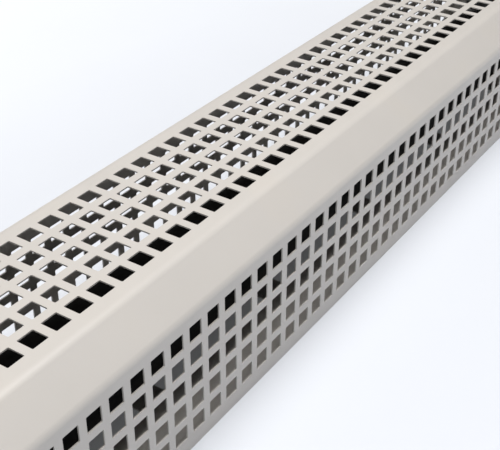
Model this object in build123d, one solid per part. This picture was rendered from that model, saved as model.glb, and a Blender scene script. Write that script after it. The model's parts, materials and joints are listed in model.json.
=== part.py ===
from build123d import *
import os
from math import radians, tan

# An electric baseboard heater: a black tubular element lies in a folded sheet hood that is
# perforated with square holes, over a slotted base tray, between two end caps.
# Millimetres. X runs along the heater, -Y is the front, +Z is up.
# The origin is on the floor, at the middle of the base.

# ---- Driving dimensions ------------------------------------------------------------------

hole_pitch = 12.0          # square holes, in straight rows
hole_side = 8.0
hole_columns = 57
hole_rows = 5              # on each of the front, the top and the back
top_rows_middle = 1.25     # Y of the top's middle row
back_rows_drop = 1.2       # the back's rows lie this much lower than the front's

casing_width = 97.5        # Y
casing_height = 85.0       # Z
front_leg = 14.6           # the 45 degree band along the upper front edge
back_leg = 12.0            # and the one along the upper back edge
hood_sheet = 0.8
fold_radius = 5.5          # outside radius of the hood's folds

tray_sheet = 1.0
tray_flange_height = 6.5
tray_gap = 0.2             # between the tray and the hood
slot_count = 6
slot_length = 82.5
slot_width = 34.0
slot_period = 99.0
slot_offset = -1.5         # the slots' middle, from the heater's middle

cap_sheet = 1.2
cap_flange = 10.0          # how far an end cap reaches into the hood

tube_radius = 25.5
tube_wall = 1.0
tube_length = 600.0
tube_height = 32.0         # the tube's axis over the floor

fixing_spacing_x = 624.0   # four floor screws through the tray
fixing_spacing_y = 76.0
fixing_hole = 5.5

control_y = -16.0          # the thermostat, on the right end cap
control_z = 44.0
gland_y = 24.0             # the supply cable's gland, on the right end cap
gland_z = 44.0

# ---- Worked out from them ----------------------------------------------------------------

hood_length = hole_pitch * (hole_columns + 1)
half_length = hood_length / 2
half_width = casing_width / 2
end_face = half_length + cap_sheet
tube_end = tube_length / 2
plug_face = tube_end + 3.0


# ---- Helpers -----------------------------------------------------------------------------

def box(x, y, z):
    """A box between two corners, each given as a (low, high) pair."""
    size = (x[1] - x[0], y[1] - y[0], z[1] - z[0])
    middle = ((x[0] + x[1]) / 2, (y[0] + y[1]) / 2, (z[0] + z[1]) / 2)
    return Pos(*middle) * Box(*size)


def rod(axis, radius, start, length):
    """A round bar from start, along +X, +Y or +Z."""
    turn = {"x": Rot(0, 90, 0), "y": Rot(-90, 0, 0), "z": Rot(0, 0, 0)}[axis]
    align = (Align.CENTER, Align.CENTER, Align.MIN)
    return Pos(*start) * turn * Cylinder(radius, length, align=align)


def ring(axis, outer, inner, start, length):
    """A round sleeve from start, along +X, +Y or +Z."""
    return rod(axis, outer, start, length) - rod(axis, inner, start, length)


def nut(across_flats, inner, height):
    """A hexagon nut standing on z = 0."""
    blank = extrude(RegularPolygon(across_flats / 2, 6, major_radius=False), height)
    crown = Cone(
        across_flats / 2 + height * 1.1,
        across_flats / 2 - 0.1,
        height * 1.1 + 0.1,
        align=(Align.CENTER, Align.CENTER, Align.MIN),
    )
    return (blank & crown) - rod("z", inner, (0, 0, 0), height)


def pan_screw(thread, length, head_radius, head_height):
    """A cross-recess pan head screw: its head stands on z = 0 and its shank points down."""
    head = rod("z", head_radius, (0, 0, 0), head_height)
    head = fillet(head.edges().group_by(Axis.Z)[-1], head_height * 0.6)
    arm = head_radius * 0.55
    depth = head_height * 0.6
    top = (head_height - depth, head_height + 1)
    cross = box((-arm, arm), (-0.4, 0.4), top) + box((-0.4, 0.4), (-arm, arm), top)
    shank = rod("z", thread / 2, (0, 0, -length), length)
    tip = chamfer(shank.edges().group_by(Axis.Z)[0], thread * 0.15)
    return head - cross + tip


def each(shape, places):
    """Copies of a shape at a list of locations, as separate solids."""
    return Compound(children=[place * shape for place in places])


def section_corners(inset, foot):
    """The casing's section, drawn in by inset, from the front foot over the top to the back."""
    side = half_width - inset
    top = casing_height - inset
    corners = []
    for hand, leg in ((-1, front_leg), (1, back_leg)):
        cut = leg + inset * tan(radians(22.5))
        shoulder = (hand * side, casing_height - cut)
        crown = (hand * (half_width - cut), top)
        corners += [(hand * side, foot), shoulder, crown][::-hand]
    return corners


def folded_section(inset, sheet, foot):
    """A sheet folded along the casing's section, as a face across X."""
    outer = section_corners(inset, foot)
    inner = section_corners(inset + sheet, foot)
    outer_line = FilletPolyline(*outer, radius=fold_radius - inset)
    inner_line = FilletPolyline(*inner, radius=fold_radius - inset - sheet)
    feet = [Line(outer[0], inner[0]), Line(outer[-1], inner[-1])]
    return Plane.YZ * make_face(outer_line.edges() + inner_line.edges() + feet)


def wire_tube(points, radii, thickness):
    """A wire of round section along straight runs joined by tangent arcs."""
    path = FilletPolyline(*points, radius=radii)
    start = Plane(origin=path @ 0, z_dir=path % 0)
    return sweep(start * Circle(thickness / 2), path=path)


# ---- The casing --------------------------------------------------------------------------

def rectangle(x, y):
    """The outline of a rectangle on XY between two (low, high) pairs."""
    return Wire.make_polygon([(x[0], y[0]), (x[1], y[0]), (x[1], y[1]), (x[0], y[1])])


def perforated_panel(low, high, rows):
    """A flat sheet on XY between two limits of Y, with a line of square holes at each row."""
    half = hole_side / 2
    holes = []
    for column in range(hole_columns):
        x = (column - (hole_columns - 1) / 2) * hole_pitch
        for y in rows:
            holes.append(rectangle((x - half, x + half), (y - half, y + half)))
    return extrude(Face(rectangle((-half_length, half_length), (low, high)), holes), hood_sheet)


def make_perforated_hood():
    span = hole_pitch * (hole_rows - 1)
    margin = hole_side / 2 + 2.0
    long = (-half_length - 1, half_length + 1)
    hood = extrude(folded_section(0, hood_sheet, 0), hood_length / 2, both=True)

    for hand, lowest in ((-1, hole_pitch), (1, hole_pitch - back_rows_drop)):
        rows = [lowest + hole_pitch * row for row in range(hole_rows)]
        high = lowest + span + margin
        wall = sorted((hand * (half_width - 5), hand * (half_width + 1)))
        hood -= box(long, wall, (-1, high))
        face = Plane((0, hand * half_width, 0), x_dir=(-hand, 0, 0), z_dir=(0, hand, 0))
        hood += face * Pos(0, 0, -hood_sheet) * perforated_panel(0, high, rows)

    first = top_rows_middle - span / 2
    rows = [first + hole_pitch * row for row in range(hole_rows)]
    low, high = first - margin, first + span + margin
    hood -= box(long, (low, high), (casing_height - 5, casing_height + 1))
    hood += Pos(0, 0, casing_height - hood_sheet) * perforated_panel(low, high, rows)

    for z in cover_screw_heights:
        for end in (-1, 1):
            hood -= rod("y", 1.9, (end * cover_screw_x, half_width - 3, z), 5)
    return hood


cover_screw_x = half_length - 4.0
cover_screw_heights = (18.0, 54.0)


def make_base_tray():
    side = half_width - hood_sheet - tray_gap
    outer = [(-side, tray_flange_height), (-side, 0), (side, 0), (side, tray_flange_height)]
    inner = [(-side + tray_sheet, tray_flange_height), (-side + tray_sheet, tray_sheet)]
    inner += [(-y, z) for y, z in reversed(inner)]
    section = make_face(
        FilletPolyline(*outer, radius=1.8).edges()
        + FilletPolyline(*inner, radius=0.8).edges()
        + [Line(outer[0], inner[0]), Line(outer[-1], inner[-1])]
    )
    tray = extrude(Plane.YZ * section, half_length - 3.0, both=True)

    # An upturned tab at each end takes the end cap's screws.
    tab_outer = [(half_length - 8, 0), (half_length, 0), (half_length, tab_height)]
    tab_inner = [
        (half_length - 8, tray_sheet),
        (half_length - tray_sheet, tray_sheet),
        (half_length - tray_sheet, tab_height),
    ]
    tab = make_face(
        FilletPolyline(*tab_outer, radius=1.8).edges()
        + FilletPolyline(*tab_inner, radius=0.8).edges()
        + [Line(tab_outer[0], tab_inner[0]), Line(tab_outer[-1], tab_inner[-1])]
    )
    tab = extrude(Plane.XZ * tab, tab_half_width, both=True)
    tray = tray + tab + mirror(tab, Plane.YZ)

    slot = extrude(RectangleRounded(slot_length, slot_width, 1.5), 3, both=True)
    for number in range(slot_count):
        x = slot_offset + (number - (slot_count - 1) / 2) * slot_period
        tray -= Pos(x, 0, 0) * slot
    for x in (-fixing_spacing_x / 2, fixing_spacing_x / 2):
        for y in (-fixing_spacing_y / 2, fixing_spacing_y / 2):
            tray -= rod("z", fixing_hole / 2, (x, y, -1), 4)
    for y in (-cap_screw_y, cap_screw_y):
        tray -= rod("x", 2.0, (-half_length - 1, y, cap_screw_z), hood_length + 2)
    return tray


tab_height = 22.0
tab_half_width = 30.0
cap_screw_y = 22.0
cap_screw_z = 13.0


def make_end_cap(hand):
    """hand is 1 for the right cap, which carries the thermostat and the gland, or -1."""
    corners = section_corners(0, 0)
    outline = FilletPolyline(*corners, radius=fold_radius)
    face = make_face(outline.edges() + [Line(corners[0], corners[-1])])
    plate = extrude(Plane.YZ.offset(half_length) * face, cap_sheet)
    clearance = hood_sheet + tray_gap
    section = folded_section(clearance, 1.0, tray_flange_height + 1.5)
    cap = plate + Pos(half_length - cap_flange, 0, 0) * extrude(section, cap_flange)
    for y in (-cap_screw_y, cap_screw_y):
        cap -= rod("x", 2.2, (half_length - 1, y, cap_screw_z), 4)
    for z in cover_screw_heights:
        cap -= rod("y", 1.75, (cover_screw_x, half_width - 4, z), 4)
    if hand > 0:
        cap -= rod("x", 5.1, (half_length - 1, control_y, control_z), 4)
        cap -= rod("x", 8.1, (half_length - 1, gland_y, gland_z), 4)
        return cap
    return mirror(cap, Plane.YZ)


def make_cover_screws():
    screw = Rot(-90, 0, 0) * pan_screw(3.5, 4.0, 3.5, 2.2)
    places = [Pos(end * cover_screw_x, half_width, z) for end in (-1, 1) for z in cover_screw_heights]
    return each(screw, places)


def make_end_cap_screws():
    screw = pan_screw(4.0, 6.5, 4.0, 2.6)
    places = []
    for end in (-1, 1):
        for y in (-cap_screw_y, cap_screw_y):
            places.append(Pos(end * end_face, y, cap_screw_z) * Rot(0, 90 * end, 0))
    return each(screw, places)


# ---- The heating tube --------------------------------------------------------------------

element_offset = 11.0      # each leg of the hairpin, above and below the tube's axis
sheath_radius = 3.3
pin_radius = 1.25
pin_end = plug_face + 9.0
spacer_spots = (-240.0, -120.0, 0.0, 120.0, 240.0)


def make_heater_tube():
    return ring("x", tube_radius, tube_radius - tube_wall, (-tube_end, 0, tube_height), tube_length)


def make_tube_plug(hand):
    """A moulded plug: its flange covers the tube's end, and its spigot fits the bore."""
    flange = rod("x", tube_radius, (tube_end, 0, tube_height), plug_face - tube_end)
    flange = fillet(flange.edges().group_by(Axis.X)[-1], 1.2)
    plug = flange + ring("x", tube_radius - tube_wall, tube_radius - 3.5, (tube_end - 12, 0, tube_height), 12)
    if hand > 0:
        for side in (-1, 1):
            z = tube_height + side * element_offset
            plug -= rod("x", pin_radius + 0.15, (tube_end - 1, 0, z), 6)
        return plug
    return mirror(plug, Plane.YZ)


def make_heating_element():
    """A sheathed element bent into a hairpin, with its two legs one above the other."""
    near, far = tube_end - 24, -tube_end + 26
    low, high = tube_height - element_offset, tube_height + element_offset
    legs = []
    for z in (low, high):
        legs.append(rod("x", sheath_radius, (far, 0, z), near - far))
    bend = revolve(
        Plane((far, 0, high), x_dir=(0, 1, 0), z_dir=(1, 0, 0)) * Circle(sheath_radius),
        Axis((far, 0, tube_height), (0, -1, 0)),
        180,
    )
    return legs[0] + bend + legs[1]


def make_element_seals():
    seal = rod("x", sheath_radius, (0, 0, 0), 5) - rod("x", pin_radius, (0, 0, 0), 5)
    return each(seal, [Pos(tube_end - 24, 0, tube_height + side * element_offset) for side in (-1, 1)])


def make_element_pins():
    start = tube_end - 24
    pin = rod("x", pin_radius, (0, 0, 0), pin_end - start)
    return each(pin, [Pos(start, 0, tube_height + side * element_offset) for side in (-1, 1)])


def make_element_spacers():
    """Insulating discs that hold the hairpin's two legs clear of the tube."""
    disc = rod("x", tube_radius - tube_wall - 0.3, (0, 0, 0), 3)
    for side in (-1, 1):
        disc -= rod("x", sheath_radius + 0.1, (-1, 0, side * element_offset), 5)
        disc -= rod("x", 6.0, (-1, side * 14, 0), 5)
    return each(disc, [Pos(x - 1.5, 0, tube_height) for x in spacer_spots])


# ---- What holds the tube -----------------------------------------------------------------

saddle_x = 289.0
saddle_width = 14.0
saddle_sheet = 1.5
strap_sheet = 1.2
strap_screw_y = 33.0


def make_tube_saddles():
    """A cradle between two legs, whose feet are welded to the tray."""
    cradle = ring("x", tube_radius + saddle_sheet, tube_radius, (0, 0, tube_height), saddle_width)
    cradle -= box((-1, saddle_width + 1), (-40, 40), (tube_height, tube_height + 40))
    leg = (tube_radius + saddle_sheet - 0.1, tube_radius + 2 * saddle_sheet)
    wide = (0, saddle_width)
    side = box(wide, leg, (tray_sheet, tube_height))
    side += box(wide, (leg[0], 39), (tray_sheet, tray_sheet + saddle_sheet))
    side += box(wide, (leg[0], 38), (tube_height - saddle_sheet, tube_height))
    side -= rod("z", 2.0, (saddle_width / 2, strap_screw_y, tube_height - 5), 10)
    saddle = cradle + side + mirror(side, Plane.XZ)
    return each(saddle, [Pos(end * saddle_x - saddle_width / 2, 0, 0) for end in (-1, 1)])


def make_tube_straps():
    strap = ring("x", tube_radius + strap_sheet, tube_radius, (0, 0, tube_height), saddle_width)
    strap -= box((-1, saddle_width + 1), (-40, 40), (tube_height - 40, tube_height))
    ear = box((0, saddle_width), (tube_radius, 38), (tube_height, tube_height + strap_sheet))
    ear -= rod("x", tube_radius, (-1, 0, tube_height), saddle_width + 2)
    ear -= rod("z", 2.2, (saddle_width / 2, strap_screw_y, tube_height - 5), 10)
    strap = strap + ear + mirror(ear, Plane.XZ)
    return each(strap, [Pos(end * saddle_x - saddle_width / 2, 0, 0) for end in (-1, 1)])


def strap_places(z):
    return [Pos(end * saddle_x, side * strap_screw_y, z) for end in (-1, 1) for side in (-1, 1)]


def make_strap_screws():
    return each(pan_screw(4.0, 8.0, 3.6, 2.4), strap_places(tube_height + strap_sheet))


def make_strap_nuts():
    height = 3.0
    return each(nut(7.0, 2.0, height), strap_places(tube_height - saddle_sheet - height))


# ---- The supply: gland, terminal block, earth stud ----------------------------------------

block_x = 332.0
block_size = (16.0, 36.0, 16.0)
block_y = 8.0
pole_pitch = 12.0
pole_ys = (block_y - pole_pitch, block_y, block_y + pole_pitch)
pole_z = tray_sheet + 8.0
block_stud_y = block_y - pole_pitch / 2
earth_spot = (334.0, 38.0)


def make_terminal_block():
    long, wide, high = block_size
    body = box((-long / 2, long / 2), (-wide / 2, wide / 2), (0, high))
    body = fillet(body.edges().filter_by(Axis.Z), 1.2)
    for offset in (-pole_pitch, 0, pole_pitch):
        body -= rod("x", 2.4, (-long, offset, pole_z - tray_sheet), 2 * long)
        for x in (-4.5, 4.5):
            body -= rod("z", 2.1, (x, offset, pole_z - tray_sheet), high)
    for offset in (-pole_pitch / 2, pole_pitch / 2):
        groove = box((-long, long), (offset - 0.8, offset + 0.8), (high - 3, high + 1))
        body -= groove
    body -= rod("z", 1.5, (0, -pole_pitch / 2, -1), high + 2)
    return Pos(block_x, block_y, tray_sheet) * body


def make_terminal_inserts():
    """A brass sleeve in each pole: the wires go in from both ends, under a screw each."""
    insert = ring("x", 2.4, 1.3, (-6.0, 0, 0), 12)
    for x in (-4.5, 4.5):
        insert -= rod("z", 1.0, (x, 0, 0), 5)
    return each(insert, [Pos(block_x, y, pole_z) for y in pole_ys])


def make_terminal_screws():
    head = rod("z", 2.0, (0, 0, 2.6), 4.0) - box((-3, 3), (-0.3, 0.3), (5.4, 8))
    screw = head + rod("z", 1.0, (0, 0, 1.3), 1.5)
    return each(screw, [Pos(block_x + x, y, pole_z) for y in pole_ys for x in (-4.5, 4.5)])


def make_weld_studs():
    """Two threaded studs welded to the tray, for the terminal block and for the earth."""
    block_stud = rod("z", 1.5, (block_x, block_stud_y, tray_sheet), block_size[2] + 3.0)
    earth_stud = rod("z", 2.0, (*earth_spot, tray_sheet), 9.0)
    return Compound(children=[block_stud, earth_stud])


def make_block_nut():
    return Pos(block_x, block_stud_y, tray_sheet + block_size[2]) * nut(5.5, 1.5, 2.4)


def make_earth_washer():
    """A toothed washer under the earth wire's ring."""
    washer = ring("z", 4.4, 2.05, (0, 0, 0), 0.8)
    for number in range(12):
        notch = box((3.6, 5.0), (-0.35, 0.35), (-1, 2))
        washer -= Rot(0, 0, number * 30) * notch
    return Pos(*earth_spot, tray_sheet) * washer


def make_earth_nut():
    return Pos(*earth_spot, tray_sheet + 1.6) * nut(7.0, 2.0, 3.2)


gland_flange = 5.0
gland_front = end_face + 18.0


def make_gland_body():
    body = rod("x", 8.0, (half_length - 9.0, 0, 0), 9.0 + cap_sheet)
    hexagon = Plane.YZ.offset(end_face) * RegularPolygon(11.0, 6, major_radius=False)
    body += extrude(hexagon, gland_flange)
    body += rod("x", 8.6, (end_face + gland_flange, 0, 0), 6.0)
    body -= rod("x", 4.5, (half_length - 10, 0, 0), 40)
    body -= rod("x", 6.6, (end_face + 3.0, 0, 0), 12)
    return Pos(0, gland_y, gland_z) * body


def make_gland_locknut():
    locknut = Rot(0, 90, 0) * nut(20.0, 8.0, 4.0)
    return Pos(half_length, gland_y, gland_z) * Rot(0, 180, 0) * locknut


def make_gland_seal():
    seal = ring("x", 6.6, 3.5, (end_face + 3.0, 0, 0), 8.5)
    return Pos(0, gland_y, gland_z) * fillet(seal.edges().group_by(Axis.X)[-1], 0.6)


def make_gland_dome_nut():
    """The nut that presses the seal onto the cable: six flats behind a domed front."""
    start = end_face + gland_flange + 0.5
    blank = extrude(Plane.YZ.offset(start) * RegularPolygon(10.5, 6, major_radius=False), 8.0)
    dome = rod("x", 10.4, (start + 8.0, 0, 0), gland_front - start - 8.0)
    dome = fillet(dome.edges().group_by(Axis.X)[-1], 3.0)
    body = blank + dome
    body -= rod("x", 8.6, (start - 1, 0, 0), 7.0)
    body -= rod("x", 4.6, (start - 1, 0, 0), 30)
    return Pos(0, gland_y, gland_z) * body


# ---- The controls: thermostat, its sensing bulb, the over-heat cut-out ----------------------

spindle_radius = 3.0
bush_radius = 5.0
bush_end = end_face + 7.0
knob_radius = 18.0
knob_back = end_face + 0.4
knob_front = end_face + 17.0
thermostat_back = 324.0
tab_y = (control_y + 8.0, control_y - 8.0)
tab_z = control_z - 5.0
capillary_radius = 0.8
bulb_radius = 3.0
bulb_ends = (246.0, 296.0)
bulb_y = -40.0
bulb_z = 12.0
cutout_top = tube_height + tube_radius + strap_sheet


def make_thermostat_body():
    """A moulded switch with its threaded bush, which passes through the end cap."""
    body = box(
        (thermostat_back, half_length),
        (control_y - 15, control_y + 15),
        (control_z - 14, control_z + 14),
    )
    body = fillet(body.edges().filter_by(Axis.X), 2.0)
    body += rod("x", bush_radius, (half_length, control_y, control_z), bush_end - half_length)
    body -= rod("x", spindle_radius + 0.05, (half_length - 6, control_y, control_z), 30)
    return body


def make_thermostat_tabs():
    """The two push-on blades on the back of the switch."""
    long = (thermostat_back - 6, thermostat_back)
    thick = (tab_z - 0.4, tab_z + 0.4)
    return Compound(children=[box(long, (y - 2, y + 2), thick) for y in tab_y])


def make_thermostat_nut():
    return Pos(end_face, control_y, control_z) * Rot(0, 90, 0) * nut(14.0, bush_radius, 2.5)


def make_thermostat_spindle():
    spindle = rod("x", spindle_radius, (half_length - 5, 0, 0), knob_front - 2.5 - half_length + 5)
    flat = box((bush_end + 0.2, knob_front), (-4, 4), (1.5, 4))
    return Pos(0, control_y, control_z) * (spindle - flat)


def make_thermostat_knob():
    """A fluted knob, hollow behind, with a D-shaped hub and a raised pointer."""
    length = knob_front - knob_back
    knob = rod("x", knob_radius, (knob_back, 0, 0), length)
    knob = fillet(knob.edges().group_by(Axis.X)[-1], 2.0)
    for number in range(18):
        flute = rod("x", 1.6, (knob_back - 1, 0, knob_radius + 0.7), length + 2)
        knob -= Rot(10 + number * 20, 0, 0) * flute
    knob -= rod("x", 14.5, (knob_back - 1, 0, 0), 8.0)
    bore = rod("x", spindle_radius, (knob_back - 1, 0, 0), length - 1.5)
    bore -= box((knob_back - 2, knob_front + 1), (-4, 4), (1.5, 4))
    knob -= bore
    pointer = box((knob_front - 0.5, knob_front + 1.0), (-1.2, 1.2), (4, knob_radius - 3))
    knob += fillet(pointer.edges().filter_by(Axis.X), 0.8)
    return Pos(0, control_y, control_z) * knob


def make_sensing_bulb():
    """A liquid-filled bulb and its capillary, which runs to the back of the switch."""
    bulb = rod("x", bulb_radius, (bulb_ends[0], bulb_y, bulb_z), bulb_ends[1] - bulb_ends[0])
    bulb = fillet(bulb.edges().group_by(Axis.X)[0], 2.0)
    bulb = fillet(bulb.edges().group_by(Axis.X)[-1], 2.0)
    route = [
        (bulb_ends[1] - 1.0, bulb_y, bulb_z),
        (304, bulb_y, bulb_z),
        (311, bulb_y + 1, 17),
        (313, bulb_y + 6, 27),
        (317, control_y - 12, 34),
        (thermostat_back, control_y - 12, 34),
    ]
    return bulb + wire_tube(route, wire_radii(route), 2 * capillary_radius)


def wire_radii(route):
    """At each corner, the largest arc that takes 0.45 of the shorter run beside it."""
    radii = []
    for before, here, after in zip(route, route[1:], route[2:]):
        arriving = Vector(here) - Vector(before)
        leaving = Vector(after) - Vector(here)
        turn = radians(arriving.get_angle(leaving))
        shorter = min(arriving.length, leaving.length)
        radii.append(0.45 * shorter / tan(turn / 2))
    return radii


def make_bulb_clips():
    """Two spring clips welded to the tray, each an open ring on a stem."""
    clip = ring("x", bulb_radius + 0.8, bulb_radius, (0, 0, bulb_z), 6)
    clip -= box((-1, 7), (-1.6, 1.6), (bulb_z, bulb_z + 10))
    clip += box((0, 6), (-0.6, 0.6), (tray_sheet, bulb_z - bulb_radius - 0.2))
    clip += box((0, 6), (-4, 4), (tray_sheet, tray_sheet + 0.8))
    return each(clip, [Pos(x, bulb_y, 0) for x in (bulb_ends[0] + 6, bulb_ends[1] - 24)])


def make_cutout():
    """A bimetal over-heat cut-out that sits on the right strap, on the tube's crown."""
    body = rod("z", 8.0, (saddle_x, 0, cutout_top), 3.0)
    body += rod("z", 6.5, (saddle_x, 0, cutout_top), 10.0)
    return fillet(body.edges().group_by(Axis.Z)[-1], 1.0)


cutout_tab_y = 3.5
cutout_tab_z = cutout_top + 6.0
cutout_tab_end = saddle_x + 13.0


def make_cutout_tabs():
    tabs = []
    for side in (-1, 1):
        y = side * cutout_tab_y
        tab = box((saddle_x + 3, cutout_tab_end), (y - 2, y + 2), (cutout_tab_z - 0.4, cutout_tab_z + 0.4))
        tabs.append(tab - rod("z", 6.5, (saddle_x, 0, cutout_top), 10.0))
    return Compound(children=tabs)


# ---- The wires inside ----------------------------------------------------------------------

wire_size = 2.2
block_face = block_x - 6.0


def run(route, thickness=wire_size):
    return wire_tube(route, wire_radii(route), thickness)


def make_live_wires():
    """Block to thermostat, thermostat to cut-out, and cut-out to the element's upper pin."""
    near, far = tab_y
    tab = thermostat_back - 6
    to_thermostat = [
        (block_face, pole_ys[0], pole_z),
        (318, pole_ys[0], pole_z),
        (312.5, pole_ys[0] - 1, 15),
        (310, pole_ys[0] - 2, 24),
        (310.5, near + 1, 33),
        (313.5, near, tab_z),
        (tab, near, tab_z),
    ]
    to_cutout = [
        (tab, far, tab_z),
        (312, far, tab_z),
        (309, far - 1, tab_z + 9),
        (311, far + 6, tab_z + 20),
        (312, -8, cutout_tab_z - 1),
        (309, -cutout_tab_y, cutout_tab_z),
        (cutout_tab_end, -cutout_tab_y, cutout_tab_z),
    ]
    to_element = [
        (cutout_tab_end, cutout_tab_y, cutout_tab_z),
        (311, cutout_tab_y, cutout_tab_z),
        (319, cutout_tab_y + 1, cutout_tab_z - 4),
        (322, cutout_tab_y, 53),
        (319, 0, tube_height + element_offset),
        (pin_end, 0, tube_height + element_offset),
    ]
    return Compound(children=[run(to_thermostat), run(to_cutout), run(to_element)])


def make_neutral_wire():
    return run(
        [
            (block_face, pole_ys[1], pole_z),
            (320.5, pole_ys[1], pole_z),
            (316.5, pole_ys[1] - 2, 13),
            (319, 3, 19.5),
            (317.5, 0, tube_height - element_offset),
            (pin_end, 0, tube_height - element_offset),
        ]
    )


def make_earth_wire():
    """From the block's third pole to a ring terminal on the earth stud."""
    ring_z = tray_sheet + 1.2
    x, y = earth_spot
    wire = run(
        [
            (block_face, pole_ys[2], pole_z),
            (319.5, pole_ys[2], pole_z),
            (316, 25, 7),
            (316.5, 32, 3.4),
            (321.5, y, ring_z),
            (x - 5.2, y, ring_z),
        ]
    )
    tongue = box((x - 6.2, x - 2.6), (y - 1.4, y + 1.4), (ring_z - 0.4, ring_z + 0.4))
    return wire + tongue + ring("z", 3.8, 2.05, (x, y, ring_z - 0.4), 0.8)


nodes = {
    "perforated_hood": make_perforated_hood,
    "base_tray": make_base_tray,
    "end_cap_left": lambda: make_end_cap(-1),
    "end_cap_right": lambda: make_end_cap(1),
    "cover_screws": make_cover_screws,
    "end_cap_screws": make_end_cap_screws,
    "heater_tube": make_heater_tube,
    "tube_plug_left": lambda: make_tube_plug(-1),
    "tube_plug_right": lambda: make_tube_plug(1),
    "heating_element": make_heating_element,
    "element_seals": make_element_seals,
    "element_pins": make_element_pins,
    "element_spacers": make_element_spacers,
    "tube_saddles": make_tube_saddles,
    "tube_straps": make_tube_straps,
    "strap_screws": make_strap_screws,
    "strap_nuts": make_strap_nuts,
    "terminal_block": make_terminal_block,
    "terminal_inserts": make_terminal_inserts,
    "terminal_screws": make_terminal_screws,
    "weld_studs": make_weld_studs,
    "block_nut": make_block_nut,
    "earth_washer": make_earth_washer,
    "earth_nut": make_earth_nut,
    "gland_body": make_gland_body,
    "gland_locknut": make_gland_locknut,
    "gland_seal": make_gland_seal,
    "gland_dome_nut": make_gland_dome_nut,
    "thermostat_body": make_thermostat_body,
    "thermostat_tabs": make_thermostat_tabs,
    "thermostat_nut": make_thermostat_nut,
    "thermostat_spindle": make_thermostat_spindle,
    "thermostat_knob": make_thermostat_knob,
    "sensing_bulb": make_sensing_bulb,
    "bulb_clips": make_bulb_clips,
    "overheat_cutout": make_cutout,
    "cutout_tabs": make_cutout_tabs,
    "live_wires": make_live_wires,
    "neutral_wire": make_neutral_wire,
    "earth_wire": make_earth_wire,
}

os.makedirs("parts", exist_ok=True)
for name, make in nodes.items():
    export_step(make(), f"parts/{name}.step")
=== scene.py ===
"""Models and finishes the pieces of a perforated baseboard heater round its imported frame.

Metres. X runs along the heater, -Y is the front and +Z is up.
"""

import json
from math import cos, radians, sin, tan

import bpy
from bpy.props import FloatProperty, FloatVectorProperty, IntProperty, PointerProperty
from mathutils import Matrix, Vector


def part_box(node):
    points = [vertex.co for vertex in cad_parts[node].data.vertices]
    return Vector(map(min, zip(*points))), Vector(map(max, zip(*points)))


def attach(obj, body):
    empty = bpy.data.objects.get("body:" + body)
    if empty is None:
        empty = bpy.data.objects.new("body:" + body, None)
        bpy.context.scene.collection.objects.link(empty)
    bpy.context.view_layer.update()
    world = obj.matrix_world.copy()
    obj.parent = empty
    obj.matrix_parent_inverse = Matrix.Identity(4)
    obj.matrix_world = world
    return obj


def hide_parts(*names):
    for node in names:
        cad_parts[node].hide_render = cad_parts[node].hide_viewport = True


bl_info = {
    "name": "Perforated Baseboard Heater",
    "version": (1, 0, 0),
    "blender": (4, 5, 0),
    "location": "View3D > Sidebar > Heater",
    "description": "Models and finishes a perforated baseboard heater, piece by piece",
    "category": "Object",
}

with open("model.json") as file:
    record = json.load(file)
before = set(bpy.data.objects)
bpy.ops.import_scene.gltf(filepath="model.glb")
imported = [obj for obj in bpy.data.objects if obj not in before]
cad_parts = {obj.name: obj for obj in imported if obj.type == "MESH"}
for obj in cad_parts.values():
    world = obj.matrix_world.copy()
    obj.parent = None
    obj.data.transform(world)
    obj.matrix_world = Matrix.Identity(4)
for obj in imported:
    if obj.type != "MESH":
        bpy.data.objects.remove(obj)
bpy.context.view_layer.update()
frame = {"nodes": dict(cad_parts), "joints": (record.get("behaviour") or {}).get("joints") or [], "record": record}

# ---- Sizes that come from the frame --------------------------------------------------------

MM = 0.001
NEAR = 0.02 * MM         # what lies closer than this to a line is on it

HALF_LENGTH, HALF_WIDTH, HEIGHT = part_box("perforated_hood")[1]
END_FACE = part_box("end_cap_right")[1].x
KNOB_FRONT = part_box("thermostat_knob")[1].x
tube_low, tube_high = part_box("heater_tube")
TUBE_LENGTH = tube_high.x - tube_low.x
TUBE_RADIUS = (tube_high.z - tube_low.z) / 2
TUBE_MIDDLE = (tube_low + tube_high) / 2
KNOB_MIDDLE = frame["joints"][0]["pos_m"]
KNOB_TRAVEL = radians(frame["joints"][0]["range_deg"][1])
SLOT_COLOURS = {m["slot"]: m["base_color"] for m in frame["record"]["materials"]}


# ---- What a user would change --------------------------------------------------------------

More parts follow.
